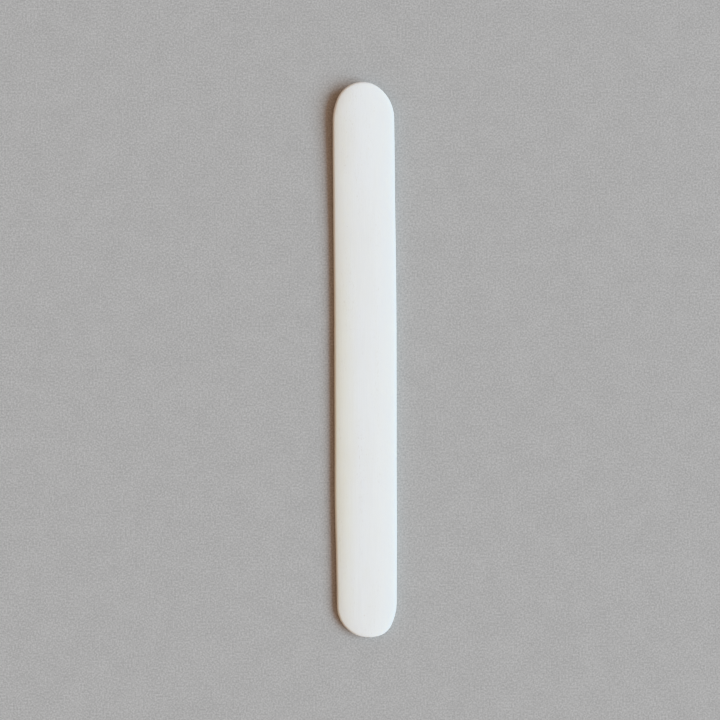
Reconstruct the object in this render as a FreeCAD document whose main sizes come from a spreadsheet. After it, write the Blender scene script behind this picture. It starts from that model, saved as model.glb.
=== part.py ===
import FreeCAD, Part
import math
import os
from collections import namedtuple

import Sketcher
from FreeCAD import Placement, Rotation, Vector

# A bone folder: one flat lath of bone, rounded at both ends, for creasing and smoothing paper.
#
# The blade lies on its flat underside with its length along Y, its width along X and its
# crowned face towards +Z. The origin is the middle of its footprint, on the surface it lies on.
# Its underside is flat from the level end (-Y) to past the middle; from there the lath follows
# the natural bend of the bone, so that the raised end (+Y) stands slightly off the surface.

DIMENSIONS = [
    ("length", 180.0, "overall, from tip to tip"),
    ("half_width", 10.13, "from the centre line to a side, where the blade is widest"),
    ("thickness", 3.0, "on the centre line"),
    ("widest_station", 12.0, "from mid length to the widest place, towards the raised end"),
    ("side_radius", 9800.0, "the long sides are very slightly bellied"),
    ("raised_tip_radius", 8.8, "middle of the raised end"),
    ("raised_tip_offset", 0.32, "this hand-shaped tip lies off the centre line, towards -X"),
    ("raised_left_shoulder_radius", 17.0, "between that tip and the -X side"),
    ("raised_right_shoulder_radius", 12.6, "between that tip and the +X side"),
    ("level_tip_radius", 7.7, "middle of the level end"),
    ("level_tip_offset", 1.05, "and this one towards +X"),
    ("level_left_shoulder_radius", 10.5, "between that tip and the -X side"),
    ("level_right_shoulder_radius", 17.5, "between that tip and the +X side"),
    ("crown_radius", 88.0, "across the upper face"),
    ("crown_half_width", 6.5, "where the crown turns into the steeper shoulder"),
    ("crown_shoulder_radius", 14.0, "across the shoulder of the upper face"),
    ("bend_station", 25.0, "where the flat underside ends and the bend begins"),
    ("bend_radius", 1300.0, "of the bend, on the underside"),
    ("upper_edge_radius", 0.9, "edge between the side wall and the upper face"),
    ("lower_edge_radius", 1.05, "edge between the side wall and the underside"),
    ("blank_margin", 2.0, "how far the blank stands out beyond the finished outline"),
]

ORIGIN = (-1, 1)
X_AXIS = -1
Y_AXIS = -2
START, END, CENTRE = 1, 2, 3
UPRIGHT = 0.01  # how far an upright face's unit normal may lean up or down

# an arc of the outline: its name, its centre, the name of its radius and the radius itself
Arc = namedtuple("Arc", "name x y radius_name radius")


def make_sheet(doc):
    """The spreadsheet that drives every size."""
    sheet = doc.addObject("Spreadsheet::Sheet", "Dimensions")
    for row, (alias, value, note) in enumerate(DIMENSIONS, start=1):
        sheet.set(f"A{row}", alias)
        sheet.set(f"B{row}", str(value))
        sheet.set(f"C{row}", note)
        sheet.setAlias(f"B{row}", alias)
    doc.recompute()
    return sheet


def add_sketch(body, name, plane_role):
    """A sketch on one of the body's own origin planes."""
    sketch = body.newObject("Sketcher::SketchObject", name)
    plane = next(f for f in body.Origin.OriginFeatures if f.Role == plane_role)
    sketch.AttachmentSupport = [(plane, "")]
    sketch.MapMode = "FlatFace"
    return sketch


def add_line(sketch, first, last):
    return sketch.addGeometry(Part.LineSegment(Vector(*first, 0), Vector(*last, 0)), False)


def add_arc(sketch, centre, radius, first, last):
    """A counter-clockwise arc between two directions, in radians."""
    circle = Part.Circle(Vector(*centre, 0), Vector(0, 0, 1), radius)
    return sketch.addGeometry(Part.ArcOfCircle(circle, first, last), False)


def constrain(sketch, kind, *references):
    sketch.addConstraint(Sketcher.Constraint(kind, *references))


def chain(sketch, edges, kinds):
    """Each edge's end meets the next one's start: Coincident at a corner, Tangent where smooth."""
    for first, second, kind in zip(edges, edges[1:] + edges[:1], kinds):
        constrain(sketch, kind, first, END, second, START)


def bind(sketch, name, kind, references, value, formula):
    """A named dimension of a sketch, drawn at a value and driven by a formula of the sheet."""
    index = sketch.addConstraint(Sketcher.Constraint(kind, *references, value))
    sketch.renameConstraint(index, name)
    sketch.setExpression(f"Constraints.{name}", formula.replace("$", "Dimensions."))


def draw_section(body, size):
    """Section across the blank: flat below, crowned above, with a steeper shoulder each side."""
    sketch = add_sketch(body, "Section", "XZ_Plane")
    sketch.setExpression(
        "AttachmentOffset.Base.z", "Dimensions.length / 2 + Dimensions.blank_margin"
    )
    up = math.pi / 2
    edge_x = size.half_width + size.blank_margin
    crown_z = size.thickness - size.crown_radius
    slope = math.asin(size.crown_half_width / size.crown_radius)
    centres_apart = size.crown_radius - size.crown_shoulder_radius
    shoulder_x = centres_apart * math.sin(slope)
    shoulder_z = crown_z + centres_apart * math.cos(slope)
    edge_angle = math.acos((edge_x - shoulder_x) / size.crown_shoulder_radius)
    edge_z = shoulder_z + size.crown_shoulder_radius * math.sin(edge_angle)

    under = add_line(sketch, (-edge_x, 0), (edge_x, 0))
    right = add_line(sketch, (edge_x, 0), (edge_x, edge_z))
    right_shoulder = add_arc(sketch, (shoulder_x, shoulder_z), size.crown_shoulder_radius,
                             edge_angle, up - slope)
    crown = add_arc(sketch, (0, crown_z), size.crown_radius, up - slope, up + slope)
    left_shoulder = add_arc(sketch, (-shoulder_x, shoulder_z), size.crown_shoulder_radius,
                            up + slope, math.pi - edge_angle)
    left = add_line(sketch, (-edge_x, edge_z), (-edge_x, 0))

    chain(sketch, [under, right, right_shoulder, crown, left_shoulder, left],
          ["Coincident", "Coincident", "Tangent", "Tangent", "Coincident", "Coincident"])
    constrain(sketch, "PointOnObject", under, START, X_AXIS)
    constrain(sketch, "Symmetric", under, START, under, END, Y_AXIS)
    constrain(sketch, "Vertical", right)
    constrain(sketch, "Vertical", left)
    constrain(sketch, "PointOnObject", crown, CENTRE, Y_AXIS)
    constrain(sketch, "Equal", left_shoulder, right_shoulder)
    bind(sketch, "edge", "DistanceX", (*ORIGIN, under, END), edge_x,
         "$half_width + $blank_margin")
    bind(sketch, "crown_right", "DistanceX", (*ORIGIN, crown, START), size.crown_half_width,
         "$crown_half_width")
    bind(sketch, "crown_left", "DistanceX", (crown, END, *ORIGIN), size.crown_half_width,
         "$crown_half_width")
    bind(sketch, "crown_depth", "DistanceY", (crown, CENTRE, *ORIGIN), -crown_z,
         "$crown_radius - $thickness")
    bind(sketch, "crown", "Radius", (crown,), size.crown_radius, "$crown_radius")
    bind(sketch, "shoulder", "Radius", (right_shoulder,), size.crown_shoulder_radius,
         "$crown_shoulder_radius")
    return sketch


def draw_spine(body, size):
    """Path of the underside from end to end: straight, then bending gently upwards."""
    sketch = add_sketch(body, "Spine", "YZ_Plane")
    reach = size.length / 2 + size.blank_margin
    down = -math.pi / 2
    turn = math.asin((reach - size.bend_station) / size.bend_radius)

    flat = add_line(sketch, (-reach, 0), (size.bend_station, 0))
    bend = add_arc(sketch, (size.bend_station, size.bend_radius), size.bend_radius,
                   down, down + turn)

    constrain(sketch, "Tangent", flat, END, bend, START)
    constrain(sketch, "PointOnObject", flat, START, X_AXIS)
    constrain(sketch, "Horizontal", flat)
    bind(sketch, "level_reach", "DistanceX", (flat, START, *ORIGIN), reach,
         "$length / 2 + $blank_margin")
    bind(sketch, "raised_reach", "DistanceX", (*ORIGIN, bend, END), reach,
         "$length / 2 + $blank_margin")
    bind(sketch, "bend_station", "DistanceX", (*ORIGIN, flat, END), size.bend_station,
         "$bend_station")
    bind(sketch, "bend", "Radius", (bend,), size.bend_radius, "$bend_radius")
    return sketch


def outline_arcs(size):
    """The eight arcs round the blade, counter-clockwise from the raised tip."""
    half = size.half_width
    reach = size.length / 2

    def arc(name, x, y, radius_name):
        return Arc(name, x, y, radius_name, getattr(size, radius_name))

    def shoulder(name, tip, side, radius_name):
        """Touches a tip and a side from inside; side is -1 for the -X one and 1 for the +X."""
        radius = getattr(size, radius_name)
        x = side * (half - radius)
        drop = math.sqrt((radius - tip.radius) ** 2 - (tip.x - x) ** 2)
        return arc(name, x, tip.y - math.copysign(drop, tip.y), radius_name)

    raised = arc("raised_tip", -size.raised_tip_offset, reach - size.raised_tip_radius,
                 "raised_tip_radius")
    level = arc("level_tip", size.level_tip_offset, size.level_tip_radius - reach,
                "level_tip_radius")
    return [
        raised,
        shoulder("raised_left", raised, -1, "raised_left_shoulder_radius"),
        arc("left_side", size.side_radius - half, size.widest_station, "side_radius"),
        shoulder("level_left", level, -1, "level_left_shoulder_radius"),
        level,
        shoulder("level_right", level, 1, "level_right_shoulder_radius"),
        arc("right_side", half - size.side_radius, size.widest_station, "side_radius"),
        shoulder("raised_right", raised, 1, "raised_right_shoulder_radius"),
    ]


def seam_angle(one, other):
    """Where two tangent arcs meet: on the line of their centres, beyond the smaller arc's."""
    large, small = sorted((one, other), key=lambda arc: -arc.radius)
    return math.atan2(small.y - large.y, small.x - large.x)


def draw_clear_frame(sketch, size):
    """A rectangle about the origin, clear of the blank all round."""
    x = size.half_width + 2 * size.blank_margin
    y = size.length / 2 + 2 * size.blank_margin
    corners = [(x, y), (-x, y), (-x, -y), (x, -y)]
    lines = [add_line(sketch, a, b) for a, b in zip(corners, corners[1:] + corners[:1])]
    chain(sketch, lines, ["Coincident"] * len(lines))
    for line, kind in zip(lines, ("Horizontal", "Vertical") * 2):
        constrain(sketch, kind, line)
    constrain(sketch, "Symmetric", lines[0], START, lines[2], START, *ORIGIN)
    bind(sketch, "clear_x", "DistanceX", (*ORIGIN, lines[0], START), x,
         "$half_width + 2 * $blank_margin")
    bind(sketch, "clear_y", "DistanceY", (*ORIGIN, lines[0], START), y,
         "$length / 2 + 2 * $blank_margin")


def draw_outline(body, size):
    """What is cut away round the blade: everything between eight arcs and a clear frame."""
    sketch = add_sketch(body, "Outline", "XY_Plane")
    arcs = outline_arcs(size)
    edges = {}
    for previous, arc, following in zip(arcs[-1:] + arcs[:-1], arcs, arcs[1:] + arcs[:1]):
        edges[arc.name] = add_arc(sketch, (arc.x, arc.y), arc.radius,
                                  seam_angle(previous, arc), seam_angle(arc, following))
    chain(sketch, list(edges.values()), ["Tangent"] * len(edges))

    for arc in arcs:
        bind(sketch, f"{arc.name}_radius", "Radius", (edges[arc.name],), arc.radius,
             f"${arc.radius_name}")
    raised, level, left, right = (
        (edges[name], CENTRE) for name in ("raised_tip", "level_tip", "left_side", "right_side")
    )
    raised_y = size.length / 2 - size.raised_tip_radius
    level_y = size.length / 2 - size.level_tip_radius
    side_x = size.side_radius - size.half_width
    bind(sketch, "raised_x", "DistanceX", (*raised, *ORIGIN), size.raised_tip_offset,
         "$raised_tip_offset")
    bind(sketch, "raised_y", "DistanceY", (*ORIGIN, *raised), raised_y,
         "$length / 2 - $raised_tip_radius")
    bind(sketch, "level_x", "DistanceX", (*ORIGIN, *level), size.level_tip_offset,
         "$level_tip_offset")
    bind(sketch, "level_y", "DistanceY", (*level, *ORIGIN), level_y,
         "$length / 2 - $level_tip_radius")
    bind(sketch, "left_x", "DistanceX", (*ORIGIN, *left), side_x, "$side_radius - $half_width")
    bind(sketch, "right_x", "DistanceX", (*right, *ORIGIN), side_x, "$side_radius - $half_width")
    bind(sketch, "left_y", "DistanceY", (*ORIGIN, *left), size.widest_station, "$widest_station")
    bind(sketch, "right_y", "DistanceY", (*ORIGIN, *right), size.widest_station,
         "$widest_station")
    draw_clear_frame(sketch, size)
    return sketch


def is_wall(face):
    """Whether a face stands upright, as the blade's side wall does."""
    u0, u1, v0, v1 = face.ParameterRange
    return abs(face.normalAt((u0 + u1) / 2, (v0 + v1) / 2).z) < UPRIGHT


def rim_edges(shape, size):
    """Names of the side wall's upper edges and of its lower ones."""
    walls = [face for face in shape.Faces if is_wall(face)]
    upper, lower = [], []
    for number, edge in enumerate(shape.Edges, start=1):
        if sum(any(edge.isSame(other) for other in wall.Edges) for wall in walls) != 1:
            continue
        middle = edge.valueAt((edge.FirstParameter + edge.LastParameter) / 2)
        underside = max(0.0, middle.y - size.bend_station) ** 2 / (2 * size.bend_radius)
        rim = upper if middle.z - underside > size.thickness / 2 else lower
        rim.append(f"Edge{number}")
    return upper, lower


def compute(doc):
    """Recomputes, and stops at the first object that failed."""
    doc.recompute()
    for item in doc.Objects:
        if {"Invalid", "Error"} & set(item.State):
            raise RuntimeError(f"{item.Name} failed: {item.State}")


def add_fillet(body, name, base, edges, radius_name):
    """Rounds edges of a computed base, with the radius from the sheet."""
    fillet = body.newObject("PartDesign::Fillet", name)
    fillet.Base = (base, edges)
    fillet.setExpression("Radius", f"Dimensions.{radius_name}")
    compute(body.Document)
    if fillet.Shape.Volume >= base.Shape.Volume:
        raise RuntimeError(f"{name} took nothing away")
    return fillet


def make_blade(doc, size):
    """The one piece: a swept blank, trimmed to its outline, with its edges rounded."""
    body = doc.addObject("PartDesign::Body", "BoneBlade")
    body.Label = "bone_blade"
    body.Placement = Placement(Vector(0, 0, 0), Rotation())

    blank = body.newObject("PartDesign::AdditivePipe", "Blank")
    blank.Profile = draw_section(body, size)
    blank.Spine = (draw_spine(body, size), ["Edge1", "Edge2"])
    compute(doc)

    trimmed = body.newObject("PartDesign::Pocket", "TrimmedToOutline")
    trimmed.Profile = draw_outline(body, size)
    trimmed.Type = "ThroughAll"
    trimmed.SideType = "Symmetric"
    compute(doc)
    if trimmed.Shape.Volume >= blank.Shape.Volume:
        raise RuntimeError("the outline cut nothing away")

    upper, _ = rim_edges(trimmed.Shape, size)
    upper_edge = add_fillet(body, "UpperEdge", trimmed, upper, "upper_edge_radius")
    _, lower = rim_edges(upper_edge.Shape, size)
    body.Tip = add_fillet(body, "LowerEdge", upper_edge, lower, "lower_edge_radius")
    compute(doc)
    return body


def main():
    doc = FreeCAD.newDocument("bone_folder")
    blade = make_blade(doc, make_sheet(doc))
    if blade.Shape.isNull() or not blade.Shape.isValid():
        raise RuntimeError("the blade is not a valid solid")
    box = blade.Shape.optimalBoundingBox(True, False)
    print(f"{blade.Label}: {box.XLength:.2f} x {box.YLength:.2f} x {box.ZLength:.2f} mm,"
          f" {blade.Shape.Volume:.1f} mm3, {len(blade.Shape.Solids)} solid")
    os.makedirs("parts", exist_ok=True)
    blade.Shape.exportStep(f"parts/{blade.Label}.step")


main()
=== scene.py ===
import math

import bpy
import numpy as np
from mathutils import Matrix, Vector


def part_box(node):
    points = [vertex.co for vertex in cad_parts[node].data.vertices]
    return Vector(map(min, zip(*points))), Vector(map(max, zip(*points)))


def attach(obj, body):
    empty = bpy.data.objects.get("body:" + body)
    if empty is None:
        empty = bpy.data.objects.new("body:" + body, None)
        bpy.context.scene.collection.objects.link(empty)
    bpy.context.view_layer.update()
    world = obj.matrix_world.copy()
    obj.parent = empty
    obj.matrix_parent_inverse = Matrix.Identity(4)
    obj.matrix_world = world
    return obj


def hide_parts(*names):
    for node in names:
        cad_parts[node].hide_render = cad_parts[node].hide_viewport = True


# A bone folder: one lath of polished bone lying on a grey board, lit by a window to its right.
#
# The blade keeps the frame's length, width and bend, and adds what the plain solid leaves out:
# the slight unevenness of hand shaping and polishing, a softer rim all round, and the grain of
# the bone.

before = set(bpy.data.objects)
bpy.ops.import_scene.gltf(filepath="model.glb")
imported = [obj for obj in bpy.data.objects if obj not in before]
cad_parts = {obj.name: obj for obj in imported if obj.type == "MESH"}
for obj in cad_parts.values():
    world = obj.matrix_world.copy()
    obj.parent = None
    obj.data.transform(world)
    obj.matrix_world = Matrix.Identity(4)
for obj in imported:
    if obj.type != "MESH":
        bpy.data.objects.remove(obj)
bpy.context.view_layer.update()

MM = 0.001
NODE = "bone_blade"
PIECE = "bone_blade_polished"

# ---------------------------------------------------------------- sizes of the blade

low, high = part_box(NODE)
REACH = (high.y - low.y) / 2
HALF_WIDTH = (high.x - low.x) / 2
THICKNESS = 3.0 * MM
WIDEST_STATION = 12 * MM
SIDE_RADIUS = 9800 * MM
RAISED_TIP_RADIUS = 8.8 * MM
RAISED_TIP_OFFSET = -0.34 * MM
RAISED_LEFT_SHOULDER_RADIUS = 20.0 * MM
RAISED_RIGHT_SHOULDER_RADIUS = 12.6 * MM
LEVEL_TIP_RADIUS = 6.9 * MM
LEVEL_TIP_OFFSET = 1.7 * MM
LEVEL_LEFT_SHOULDER_RADIUS = 10.4 * MM
LEVEL_RIGHT_SHOULDER_RADIUS = 17.7 * MM
CROWN_RADIUS = 116 * MM       # across the upper face
CROWN_OFFSET = 1.5 * MM       # the crown's top lies a little towards +X
# how much more the upper face falls towards the rim, all round: (fall, over what width, power)
RIM_FALLS = [(0.42 * MM, 10 * MM, 4), (0.07 * MM, 2.0 * MM, 2)]
BEND_STATION = 25 * MM        # the underside is level up to here
BEND_RADIUS = 1300 * MM
UPPER_EDGE_RADIUS = 0.95 * MM
LOWER_EDGE_WIDTH = 2.3 * MM   # the underside's edge is a quarter of an ellipse
LOWER_EDGE_HEIGHT = 1.45 * MM

# hand shaping of the sides: (height of the bump, its middle along the blade, its spread)
CAMBER = [(0.15 * MM, 18 * MM, 28 * MM), (-0.10 * MM, -42 * MM, 14 * MM)]
BELLY = [(0.11 * MM, -48 * MM, 16 * MM), (0.07 * MM, 74 * MM, 12 * MM)]
# the level tip is ground a little flat: (how far, its middle across the blade, its spread)
FLATTENING = [(0.14 * MM, 1.7 * MM, 4 * MM)]
LEVEL_THINNING = 0.15 * MM    # the level end is a little thinner
THINNING_STATION = -55 * MM

# waves that polishing by hand leaves in the upper face
POLISH_SEED = 7
POLISH_WAVES = 9
POLISH_DEPTH = 0.004 * MM
LENGTHS_ALONG = (18 * MM, 60 * MM)
LENGTHS_ACROSS = (12 * MM, 40 * MM)

# ---------------------------------------------------------------- mesh counts

END_SPANS = 26
SIDE_SPANS = 300
RIM_WIDTH = 3.5 * MM          # of the band of mesh that follows the outline
SHOULDER_ROWS = 8
UPPER_EDGE_ROWS = 10
WALL_ROWS = 3
LOWER_EDGE_ROWS = 9
UNDERSIDE_ROWS = 2
TOUCH_ANGLES = np.radians(np.linspace(50, 90, 321))   # tried for where edge and face touch
SEAM_SLACK = 1e-6             # radians by which neighbouring arcs of the outline overlap


# ---------------------------------------------------------------- the blade's shape

def bumps(terms, y):
    """Sum of soft bumps along a line."""
    return sum(height * np.exp(-((y - middle) / spread) ** 2) for height, middle, spread in terms)


def lift(y):
    """How far the underside stands off the surface."""
    return np.maximum(0, y - BEND_STATION) ** 2 / (2 * BEND_RADIUS)


def polish_waves(x, y):
    """Slight unevenness left by polishing by hand."""
    draw = np.random.default_rng(POLISH_SEED)
    total = np.zeros_like(x)
    for _ in range(POLISH_WAVES):
        along, across = draw.uniform(*LENGTHS_ALONG), draw.uniform(*LENGTHS_ACROSS)
        phase, turn = draw.uniform(0, 2 * math.pi, 2)
        total += POLISH_DEPTH * np.sin(2 * math.pi * y / along + phase) * np.cos(
            2 * math.pi * x / across + turn)
    return total


def shoulder_arc(tip, side, radius):
    """The arc of this radius that touches a tip and a side from inside, near the tip."""
    apart = np.subtract(side[:2], tip[:2])
    distance = np.hypot(*apart)
    to_tip, to_side = radius - tip[2], side[2] - radius
    along = (to_tip ** 2 - to_side ** 2 + distance ** 2) / (2 * distance)
    across = math.sqrt(to_tip ** 2 - along ** 2)
    forward = apart / distance
    sideways = np.array([-forward[1], forward[0]])
    centres = [np.array(tip[:2]) + along * forward + turn * across * sideways
               for turn in (-1, 1)]
    return (*min(centres, key=lambda centre: abs(centre[1])), radius)


def outline_arcs():
    """The eight tangent arcs of the outline as columns: centre x, centre y, radius, first angle
    and last angle, counter-clockwise from the raised tip."""
    raised = (RAISED_TIP_OFFSET, REACH - RAISED_TIP_RADIUS, RAISED_TIP_RADIUS)
    level = (LEVEL_TIP_OFFSET, LEVEL_TIP_RADIUS - REACH, LEVEL_TIP_RADIUS)
    left = (SIDE_RADIUS - HALF_WIDTH, WIDEST_STATION, SIDE_RADIUS)
    right = (HALF_WIDTH - SIDE_RADIUS, WIDEST_STATION, SIDE_RADIUS)
    circles = [
        raised,
        shoulder_arc(raised, left, RAISED_LEFT_SHOULDER_RADIUS),
        left,
        shoulder_arc(level, left, LEVEL_LEFT_SHOULDER_RADIUS),
        level,
        shoulder_arc(level, right, LEVEL_RIGHT_SHOULDER_RADIUS),
        right,
        shoulder_arc(raised, right, RAISED_RIGHT_SHOULDER_RADIUS),
    ]
    seams = []
    for one, other in zip(circles[-1:] + circles[:-1], circles):
        large, small = sorted((one, other), key=lambda circle: -circle[2])
        seams.append(math.atan2(small[1] - large[1], small[0] - large[0]))
    seams = np.unwrap(seams + seams[:1])
    return np.column_stack([circles, seams[:-1], seams[1:]]).T


ARCS = outline_arcs()


def inset_of(x, y):
    """How far inside the outline a point lies: its distance to the nearest arc."""
    centre_x, centre_y, radius, first, last = ARCS[:, :, None]
    dx, dy = x - bumps(CAMBER, y) - centre_x, y - centre_y
    turned = (np.arctan2(dy, dx) - first + SEAM_SLACK) % (2 * math.pi)
    beside = turned <= last - first + 2 * SEAM_SLACK
    return np.where(beside, radius - np.hypot(dx, dy), REACH).min(0)


def top_height(x, y):
    """Height of the upper face."""
    crown = (x - CROWN_OFFSET - bumps(CAMBER, y)) ** 2 / (2 * CROWN_RADIUS)
    inset = inset_of(x, y)
    rim_fall = sum(fall * np.maximum(0, 1 - inset / width) ** power
                   for fall, width, power in RIM_FALLS)
    towards_end = np.clip((THINNING_STATION - y) / (THINNING_STATION + REACH), 0, 1)
    thinning = LEVEL_THINNING * towards_end ** 2
    return THICKNESS + lift(y) - crown - rim_fall - thinning + polish_waves(x, y)


def outline_loop():
    """Points round the outline and their outward directions, evenly spaced along each end and
    each side, counter-clockwise from the right-hand corner of the raised end."""
    x, y, radius, first, last = ARCS
    reach = np.concatenate([[0], np.cumsum(radius * (last - first))])

    def distance_at(angle):
        found = np.searchsorted(last, angle)
        return reach[found] + radius[found] * (angle - first[found])

    corners = [distance_at(math.pi / 4 * eighths) for eighths in (1, 3, 5, 7)]
    corners.append(corners[0] + reach[-1])
    spans = [END_SPANS, SIDE_SPANS] * 2
    along = np.concatenate([np.linspace(a, b, n, endpoint=False)
                            for a, b, n in zip(corners, corners[1:], spans)]) % reach[-1]
    found = np.searchsorted(reach, along, side="right") - 1
    angle = first[found] + (along - reach[found]) / radius[found]
    outward = np.stack([np.cos(angle), np.sin(angle)], 1)
    points = np.stack([x, y], 1)[found] + radius[found, None] * outward
    points[:, 1] += bumps(FLATTENING, points[:, 0]) * np.maximum(0, -outward[:, 1])
    points[:, 0] += bumps(CAMBER, points[:, 1]) + bumps(BELLY, points[:, 1]) * outward[:, 0]
    return points, outward


def section_rows(points, outward):
    """Rows of points round the blade, from inside the upper rim, over the edge and the wall, to
    inside the lower rim, with how far inside the outline each one lies."""
    count = len(points)

    def at(inset):
        return points - outward * np.reshape(inset, (-1, 1))

    def row(inset, height):
        inset = np.broadcast_to(inset, count)
        return np.column_stack([at(inset), height]), inset

    # the edge's arc touches the wall and, at a steep angle, the upper face
    radius = UPPER_EDGE_RADIUS
    gaps = []
    for angle in TOUCH_ANGLES:
        inset = np.full(count, radius * (1 - math.cos(angle)))
        gaps.append(top_height(*at(inset).T) - radius * math.sin(angle))
    gaps = np.array(gaps)
    centre = gaps.min(0)
    touching = TOUCH_ANGLES[gaps.argmin(0)]

    rows = []
    edge_inset = radius * (1 - np.cos(touching))
    for share in np.linspace(0, 1, SHOULDER_ROWS + 1):
        inset = RIM_WIDTH + (edge_inset - RIM_WIDTH) * share
        rows.append(row(inset, top_height(*at(inset).T)))
    for share in np.linspace(1, 0, UPPER_EDGE_ROWS + 1)[1:]:
        angle = touching * share
        rows.append(row(radius * (1 - np.cos(angle)), centre + radius * np.sin(angle)))
    foot = lift(points[:, 1]) + LOWER_EDGE_HEIGHT
    for share in np.linspace(0, 1, WALL_ROWS + 1)[1:]:
        rows.append(row(0, centre + (foot - centre) * share))
    for angle in np.linspace(0, math.pi / 2, LOWER_EDGE_ROWS + 1)[1:]:
        inset = LOWER_EDGE_WIDTH * (1 - math.cos(angle))
        rise = LOWER_EDGE_HEIGHT * (1 - math.sin(angle))
        rows.append(row(inset, lift(at(inset)[:, 1]) + rise))
    for inset in np.linspace(LOWER_EDGE_WIDTH, RIM_WIDTH, UNDERSIDE_ROWS + 1)[1:]:
        rows.append(row(inset, lift(at(inset)[:, 1])))
    return rows


def fill_grid(loop, first_new):
    """Fills a loop with a grid: the vertex index at each crossing, and the plan positions of the
    new vertices inside. The loop is (indices, plan positions)."""
    indices, plan = loop
    count = len(indices)
    border = np.zeros((SIDE_SPANS + 1, END_SPANS + 1), int)
    across, along = np.arange(END_SPANS + 1), np.arange(SIDE_SPANS + 1)
    border[0, :] = END_SPANS - across
    border[:, 0] = END_SPANS + along
    border[-1, :] = END_SPANS + SIDE_SPANS + across
    border[:, -1] = (count - along) % count

    u = (across / END_SPANS)[None, :, None]
    v = (along / SIDE_SPANS)[:, None, None]
    edge = plan[border]
    ends = (1 - v) * edge[:1] + v * edge[-1:]
    sides = (1 - u) * edge[:, :1] + u * edge[:, -1:]
    corners = ((1 - u) * (1 - v) * edge[0, 0] + u * (1 - v) * edge[0, -1]
               + (1 - u) * v * edge[-1, 0] + u * v * edge[-1, -1])
    inside = (ends + sides - corners)[1:-1, 1:-1].reshape(-1, 2)

    grid = indices[border]
    grid[1:-1, 1:-1] = first_new + np.arange(len(inside)).reshape(SIDE_SPANS - 1, -1)
    return grid, inside


def quads(grid):
    """Faces of a grid of vertex indices."""
    return np.stack([grid[:-1, :-1], grid[1:, :-1], grid[1:, 1:], grid[:-1, 1:]], -1).reshape(-1, 4)


def make_blade():
    """The blade as one closed mesh of quads."""
    points, outward = outline_loop()
    rows = section_rows(points, outward)
    count = len(points)
    vertices = [place for place, _ in rows]
    insets = [inset for _, inset in rows]
    rings = np.arange(len(rows) * count).reshape(len(rows), count)
    faces = [quads(np.column_stack([rings, rings[:, :1]]))]

    made = len(rows) * count
    for ring, is_top in ((0, True), (-1, False)):
        grid, plan = fill_grid((rings[ring], rows[ring][0][:, :2]), made)
        x, y = plan.T
        vertices.append(np.column_stack([plan, top_height(x, y) if is_top else lift(y)]))
        insets.append(np.full(len(plan), RIM_WIDTH))
        filled = quads(grid)
        faces.append(filled if is_top else filled[:, ::-1])
        made += len(plan)

    mesh = bpy.data.meshes.new(PIECE)
    mesh.from_pydata(np.concatenate(vertices).tolist(), [], np.concatenate(faces).tolist())
    mesh.polygons.foreach_set("use_smooth", [True] * len(mesh.polygons))
    edge_wear = mesh.attributes.new("edge_wear", "FLOAT", "POINT")
    wear = np.exp(-(np.concatenate(insets) / UPPER_EDGE_RADIUS) ** 2)
    edge_wear.data.foreach_set("value", wear.astype(np.float32))
    mesh.validate()
    blade = bpy.data.objects.new(PIECE, mesh)
    bpy.context.scene.collection.objects.link(blade)
    return blade


# ---------------------------------------------------------------- node helpers

def add(tree, kind, inputs=None, **settings):
    """Adds a shader node; each input is a value or another node's output."""
    made = tree.nodes.new("ShaderNode" + kind)
    for name, value in settings.items():
        setattr(made, name, value)
    for key, value in (inputs or {}).items():
        if isinstance(value, bpy.types.NodeSocket):
            tree.links.new(value, made.inputs[key])
        else:
            made.inputs[key].default_value = value
    return made


def maths(tree, operation, *values):
    inputs = dict(enumerate(values))
    return add(tree, "Math", inputs, operation=operation).outputs[0]


def blend_colour(tree, share, one, other, mode="MIX"):
    mix = add(tree, "Mix", {0: share, 6: one, 7: other}, data_type="RGBA", blend_type=mode)
    return mix.outputs[2]


def remap(tree, value, from_low, from_high, to_low, to_high, kind="SMOOTHSTEP"):
    inputs = {"Value": value, "From Min": from_low, "From Max": from_high,
              "To Min": to_low, "To Max": to_high}
    return add(tree, "MapRange", inputs, interpolation_type=kind).outputs[0]


def grain(tree, place, width, length, detail, distortion, shift):
    """Noise whose features are so wide across the blade and so long along it."""
    scale = (1 / width, 1 / length, 1 / width)
    stretched = add(tree, "Mapping", {"Vector": place, "Scale": scale,
                                      "Location": (shift, shift, shift)})
    noise = add(tree, "TexNoise", {"Vector": stretched.outputs[0], "Scale": 1.0,
                                   "Detail": detail, "Distortion": distortion})
    return noise.outputs[0]


def new_material(name):
    material = bpy.data.materials.new(name)
    material.use_nodes = True
    tree = material.node_tree
    tree.nodes.clear()
    shader = add(tree, "BsdfPrincipled")
    output = add(tree, "OutputMaterial")
    tree.links.new(shader.outputs[0], output.inputs["Surface"])
    place = add(tree, "TexCoord").outputs["Object"]
    return material, tree, shader, place


# ---------------------------------------------------------------- bone

# each kind of grain as (width across the blade, length along it, detail, distortion, shift)
BONE_GRAINS = {
    "clouds": (5 * MM, 28 * MM, 2, 0.4, 0),
    "bands": (1.1 * MM, 45 * MM, 2, 0, 3.7),
    "fibres": (0.30 * MM, 16 * MM, 3, 0, 9.1),
    "fine fibres": (0.09 * MM, 4 * MM, 2, 0, 17.3),
    "pores": (0.10 * MM, 1.3 * MM, 1, 0, 31.9),
    "pore groups": (3 * MM, 22 * MM, 1, 0, 5.3),
    "smears": (7 * MM, 13 * MM, 3, 0.8, 41.3),
}

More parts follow.
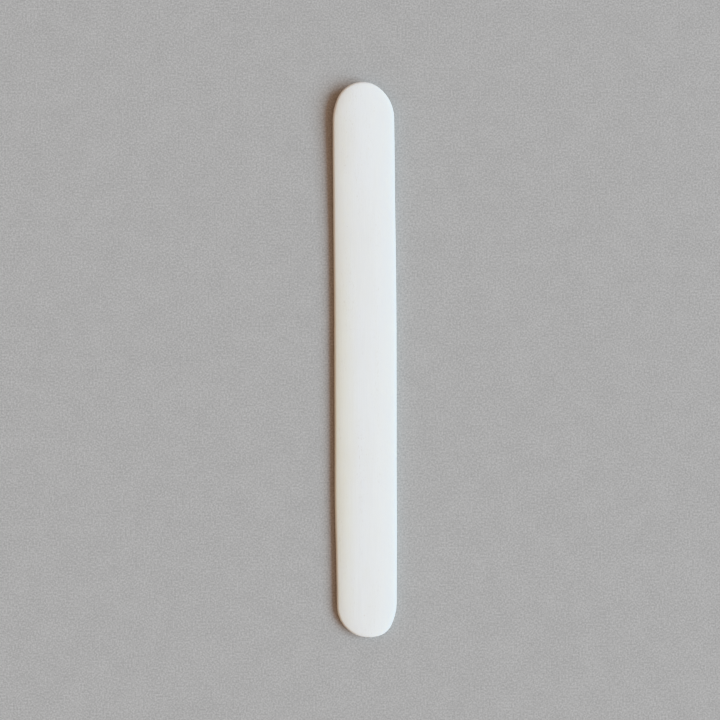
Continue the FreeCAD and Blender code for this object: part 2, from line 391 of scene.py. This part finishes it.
# colours
IVORY = (0.850, 0.838, 0.815, 1)
CREAM = (0.830, 0.808, 0.768, 1)
STRAW_AND_PAINTED_WARM_LIGHT_TONE = (0.985, 0.970, 0.870, 1)         # of the yellower tint along the -X side, the side turned from the window: partly the bone's own tone, partly painted warm light
STRAW_AND_PAINTED_WARM_LIGHT_REACH = (-9.5 * MM, -2.0 * MM)
STRAW_AND_PAINTED_WARM_LIGHT_MIDDLE = -20 * MM                       # along the blade, where it is strongest
STRAW_AND_PAINTED_WARM_LIGHT_FADE = (20 * MM, 75 * MM)               # how far from there it starts and stops fading
STRAW_AND_PAINTED_WARM_LIGHT_END_SHARE = 0.5                         # what is left of it at the ends
PORE_BROWN = (0.56, 0.48, 0.38, 1)
SPECK_BROWN = (0.62, 0.55, 0.46, 1)
# small brown specks as (x, y, radius)
SPECKS = [(-5.5 * MM, 43.3 * MM, 0.16 * MM), (-0.75 * MM, -82.7 * MM, 0.22 * MM)]
SPECK_FADE = (0.4, 1.6)                       # where a speck starts and stops fading, in radii
SPECK_STRENGTH = 0.35

# how each grain shows, as (noise from, noise to, effect from, effect to)
CLOUD_CREAM = (0.38, 0.68, 0, 0.55)
BAND_CREAM = (0.45, 0.75, 0, 0.40)
EDGE_CREAM = 0.5
FIBRE_TONE = (0.25, 0.75, 0.982, 1.014)
FINE_FIBRE_TONE = (0.25, 0.75, 0.985, 1.015)
PORE_DEPTH = (0.64, 0.75, 0, 1)
PORE_GROUP_DEPTH = (0.42, 0.62, 0.15, 1)
PORE_TINT = 0.48

# shine
SMEAR_ROUGHNESS = (0.3, 0.7, 0.33, 0.42)
FIBRE_ROUGHNESS = 0.06
EDGE_ROUGHNESS = -0.05                        # the edges are polished by use
PORE_ROUGHNESS = 0.2

MICROMETRE = 0.001 * MM
# relief, in micrometres
FIBRE_RELIEF = 3.0
FINE_FIBRE_RELIEF = 1.0
SMEAR_RELIEF = 6.0
PORE_RELIEF = -6.0

# light under the surface
BONE_IOR = 1.55
UNDER_SURFACE_SHARE = 0.35
UNDER_SURFACE_REACH = 1.2 * MM
UNDER_SURFACE_RADII = (0.75, 0.75, 0.65)      # of red, green and blue, as shares of that reach


def speck_share(tree, place):
    """How much brown there is: some inside the small specks of the upper face, none elsewhere."""
    total = 0.0
    for x, y, radius in SPECKS:
        height = float(top_height(np.array([x]), np.array([y]))[0])
        offset = add(tree, "VectorMath", {0: place, 1: (x, y, height)}, operation="DISTANCE")
        fade = [radius * share for share in SPECK_FADE]
        near = remap(tree, offset.outputs["Value"], *fade, 1, 0)
        total = near if total == 0.0 else maths(tree, "MAXIMUM", total, near)
    return maths(tree, "MULTIPLY", total, SPECK_STRENGTH)


def straw_and_painted_warm_light_share(tree, place):
    """How yellow the -X side is made, most around mid length: partly the bone's own tone, partly
    painted warm light on the side turned from the window.
    """
    across, along, _ = add(tree, "SeparateXYZ", {"Vector": place}).outputs
    from_middle = maths(tree, "ABSOLUTE", maths(tree, "SUBTRACT", along, STRAW_AND_PAINTED_WARM_LIGHT_MIDDLE))
    return maths(tree, "MULTIPLY", remap(tree, across, *STRAW_AND_PAINTED_WARM_LIGHT_REACH, 1, 0, "LINEAR"),
                 remap(tree, from_middle, *STRAW_AND_PAINTED_WARM_LIGHT_FADE, 1, STRAW_AND_PAINTED_WARM_LIGHT_END_SHARE))


def bone_colour(tree, place, grains, wear, pore_depth):
    """Ivory with cream clouds, bands and edges, a straw tone with painted warm light along one
    side, fibres, pores and specks.
    """
    cream_share = maths(tree, "MAXIMUM", remap(tree, grains["clouds"], *CLOUD_CREAM),
                        remap(tree, grains["bands"], *BAND_CREAM))
    cream_share = maths(tree, "MULTIPLY_ADD", wear, EDGE_CREAM, cream_share)
    cream_share = add(tree, "Clamp", {"Value": cream_share}).outputs[0]
    colour = blend_colour(tree, cream_share, IVORY, CREAM)
    # yellows the -X side, away from the window: partly the bone's own tone, partly painted warm
    # light
    colour = blend_colour(tree, straw_and_painted_warm_light_share(tree, place), colour, STRAW_AND_PAINTED_WARM_LIGHT_TONE, "MULTIPLY")
    tone = maths(tree, "MULTIPLY", remap(tree, grains["fibres"], *FIBRE_TONE, "LINEAR"),
                 remap(tree, grains["fine fibres"], *FINE_FIBRE_TONE, "LINEAR"))
    tone = add(tree, "CombineColor", {0: tone, 1: tone, 2: tone}).outputs[0]
    colour = blend_colour(tree, 1.0, colour, tone, "MULTIPLY")
    pore_share = maths(tree, "MULTIPLY", pore_depth, PORE_TINT)
    colour = blend_colour(tree, pore_share, colour, PORE_BROWN)
    return blend_colour(tree, speck_share(tree, place), colour, SPECK_BROWN)


def bone_roughness(tree, grains, wear, pore_depth):
    """A satin shine that varies in smears, smoother at the edges and rougher in the pores."""
    roughness = remap(tree, grains["smears"], *SMEAR_ROUGHNESS, "LINEAR")
    roughness = maths(tree, "MULTIPLY_ADD", grains["fibres"], FIBRE_ROUGHNESS, roughness)
    roughness = maths(tree, "MULTIPLY_ADD", wear, EDGE_ROUGHNESS, roughness)
    return maths(tree, "MULTIPLY_ADD", pore_depth, PORE_ROUGHNESS, roughness)


def bone_relief(tree, grains, pore_depth):
    """Fibres and smears that stand proud, and pores that are sunk."""
    relief = maths(tree, "MULTIPLY", grains["fibres"], FIBRE_RELIEF)
    relief = maths(tree, "MULTIPLY_ADD", grains["fine fibres"], FINE_FIBRE_RELIEF, relief)
    relief = maths(tree, "MULTIPLY_ADD", grains["smears"], SMEAR_RELIEF, relief)
    relief = maths(tree, "MULTIPLY_ADD", pore_depth, PORE_RELIEF, relief)
    bump = add(tree, "Bump", {"Height": relief, "Strength": 1.0, "Distance": MICROMETRE})
    return bump.outputs[0]


def bone_material():
    """Polished bone."""
    material, tree, shader, place = new_material("polished_bone")
    grains = {name: grain(tree, place, *sizes) for name, sizes in BONE_GRAINS.items()}
    wear = add(tree, "Attribute", attribute_name="edge_wear").outputs["Fac"]
    pore_depth = maths(tree, "MULTIPLY", remap(tree, grains["pores"], *PORE_DEPTH),
                       remap(tree, grains["pore groups"], *PORE_GROUP_DEPTH))
    links = {
        "Base Color": bone_colour(tree, place, grains, wear, pore_depth),
        "Roughness": bone_roughness(tree, grains, wear, pore_depth),
        "Normal": bone_relief(tree, grains, pore_depth),
    }
    for name, output in links.items():
        tree.links.new(output, shader.inputs[name])
    shader.inputs["IOR"].default_value = BONE_IOR
    shader.inputs["Subsurface Weight"].default_value = UNDER_SURFACE_SHARE
    shader.inputs["Subsurface Radius"].default_value = UNDER_SURFACE_RADII
    shader.inputs["Subsurface Scale"].default_value = UNDER_SURFACE_REACH
    return material


# ---------------------------------------------------------------- stage, light and camera

BOARD_SIDE = 14.0
BOARD_DROP = 0.005 * MM       # the board lies this far under the blade
BOARD_SPECKLE = (0.55 * MM, 0.55 * MM, 3, 0, 0)
BOARD_PATCHES = (6 * MM, 6 * MM, 2, 0, 2.3)
SPECKLE_RANGE = (0.3, 0.7)
PATCH_STRENGTH = 0.3
BOARD_PALE = (0.527, 0.498, 0.473, 1)
BOARD_DARK = (0.371, 0.350, 0.331, 1)
BOARD_ROUGHNESS = (0.85, 0.95)
BOARD_SPECULAR = 0.2

# soft lights as (name, azimuth from +X, elevation, degrees wide, degrees high, share of the light
# on the board by colour)
SOFT_LIGHTS = [
    ("window", -8, 34.2, 52, 31, (0.570, 0.782, 0.937)),
    ("window_spill", -8, 62, 52, 27, (0.035, 0.041, 0.044)),
]
LIGHT_DISTANCE = 25.0
FILL_SHARE = (0.493, 0.364, 0.288)
BACKDROP = (0.42, 0.42, 0.42)

LENS = 70.0
SENSOR = 36.0
NEAREST_SEEN = 10 * MM
VIEW_WIDTH = 233.88 * MM      # across the picture, at the height of the blade's rim
RIM_HEIGHT = 1.5 * MM
CAMERA_TURN = math.radians(-0.395)
CAMERA_SHIFT = (-1.626 * MM, 0.035 * MM)


def board_material():
    """Plain pale grey board with a fine grain."""
    material, tree, shader, place = new_material("grey_board")
    speckle = grain(tree, place, *BOARD_SPECKLE)
    patches = grain(tree, place, *BOARD_PATCHES)
    share = remap(tree, speckle, *SPECKLE_RANGE, 0, 1, "LINEAR")
    share = maths(tree, "MULTIPLY_ADD", patches, PATCH_STRENGTH, share)
    share = maths(tree, "SUBTRACT", share, PATCH_STRENGTH / 2)
    colour = blend_colour(tree, share, BOARD_DARK, BOARD_PALE)
    roughness = remap(tree, speckle, *SPECKLE_RANGE, *BOARD_ROUGHNESS, "LINEAR")
    tree.links.new(colour, shader.inputs["Base Color"])
    tree.links.new(roughness, shader.inputs["Roughness"])
    shader.inputs["Specular IOR Level"].default_value = BOARD_SPECULAR
    return material


def make_board():
    half = BOARD_SIDE / 2
    mesh = bpy.data.meshes.new("board")
    corners = [(-half, -half, 0), (half, -half, 0), (half, half, 0), (-half, half, 0)]
    mesh.from_pydata(corners, [], [(0, 1, 2, 3)])
    board = bpy.data.objects.new("board", mesh)
    board.location.z = -BOARD_DROP
    bpy.context.scene.collection.objects.link(board)
    board.data.materials.append(board_material())


def add_soft_light(name, azimuth, elevation, width, height, share):
    """A rectangular light that faces the blade, with its place and size as angles."""
    azimuth, elevation = math.radians(azimuth), math.radians(elevation)
    light = bpy.data.lights.new(name, "AREA")
    light.shape = "RECTANGLE"
    light.size = 2 * LIGHT_DISTANCE * math.tan(math.radians(width / 2))
    light.size_y = 2 * LIGHT_DISTANCE * math.tan(math.radians(height / 2))
    light.color = share
    # power that lights a level white surface to a radiance of 1
    light.energy = math.pi ** 2 * LIGHT_DISTANCE ** 2 / math.sin(elevation)
    lamp = bpy.data.objects.new(name, light)
    towards = Vector((math.cos(elevation) * math.cos(azimuth),
                      math.cos(elevation) * math.sin(azimuth), math.sin(elevation)))
    lamp.location = towards * LIGHT_DISTANCE
    lamp.rotation_euler = towards.to_track_quat("Z", "Y").to_euler()
    bpy.context.scene.collection.objects.link(lamp)


def light_board():
    """A soft window to the right of the blade and a weak warm fill from all round."""
    for light in SOFT_LIGHTS:
        add_soft_light(*light)
    world = bpy.data.worlds.new("room")
    bpy.context.scene.world = world
    world.use_nodes = True
    tree = world.node_tree
    tree.nodes.clear()
    seen = add(tree, "LightPath").outputs["Is Camera Ray"]
    colour = blend_colour(tree, seen, (*FILL_SHARE, 1), (*BACKDROP, 1))
    background = add(tree, "Background", {"Color": colour})
    output = add(tree, "OutputWorld")
    tree.links.new(background.outputs[0], output.inputs["Surface"])


def make_camera():
    """Straight above the blade."""
    data = bpy.data.cameras.new("camera")
    data.lens = LENS
    data.sensor_width = SENSOR
    data.clip_start = NEAREST_SEEN
    camera = bpy.data.objects.new("camera", data)
    turn = Matrix.Rotation(CAMERA_TURN, 4, "Z")
    distance = VIEW_WIDTH * LENS / SENSOR
    camera.location = turn @ Vector((*CAMERA_SHIFT, RIM_HEIGHT + distance))
    camera.rotation_euler = (0, 0, CAMERA_TURN)
    bpy.context.scene.collection.objects.link(camera)
    bpy.context.scene.camera = camera


blade = make_blade()
blade.data.materials.append(bone_material())
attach(blade, "root")
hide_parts(NODE)
make_board()
light_board()
make_camera()
bpy.context.scene.view_settings.view_transform = "Khronos PBR Neutral"
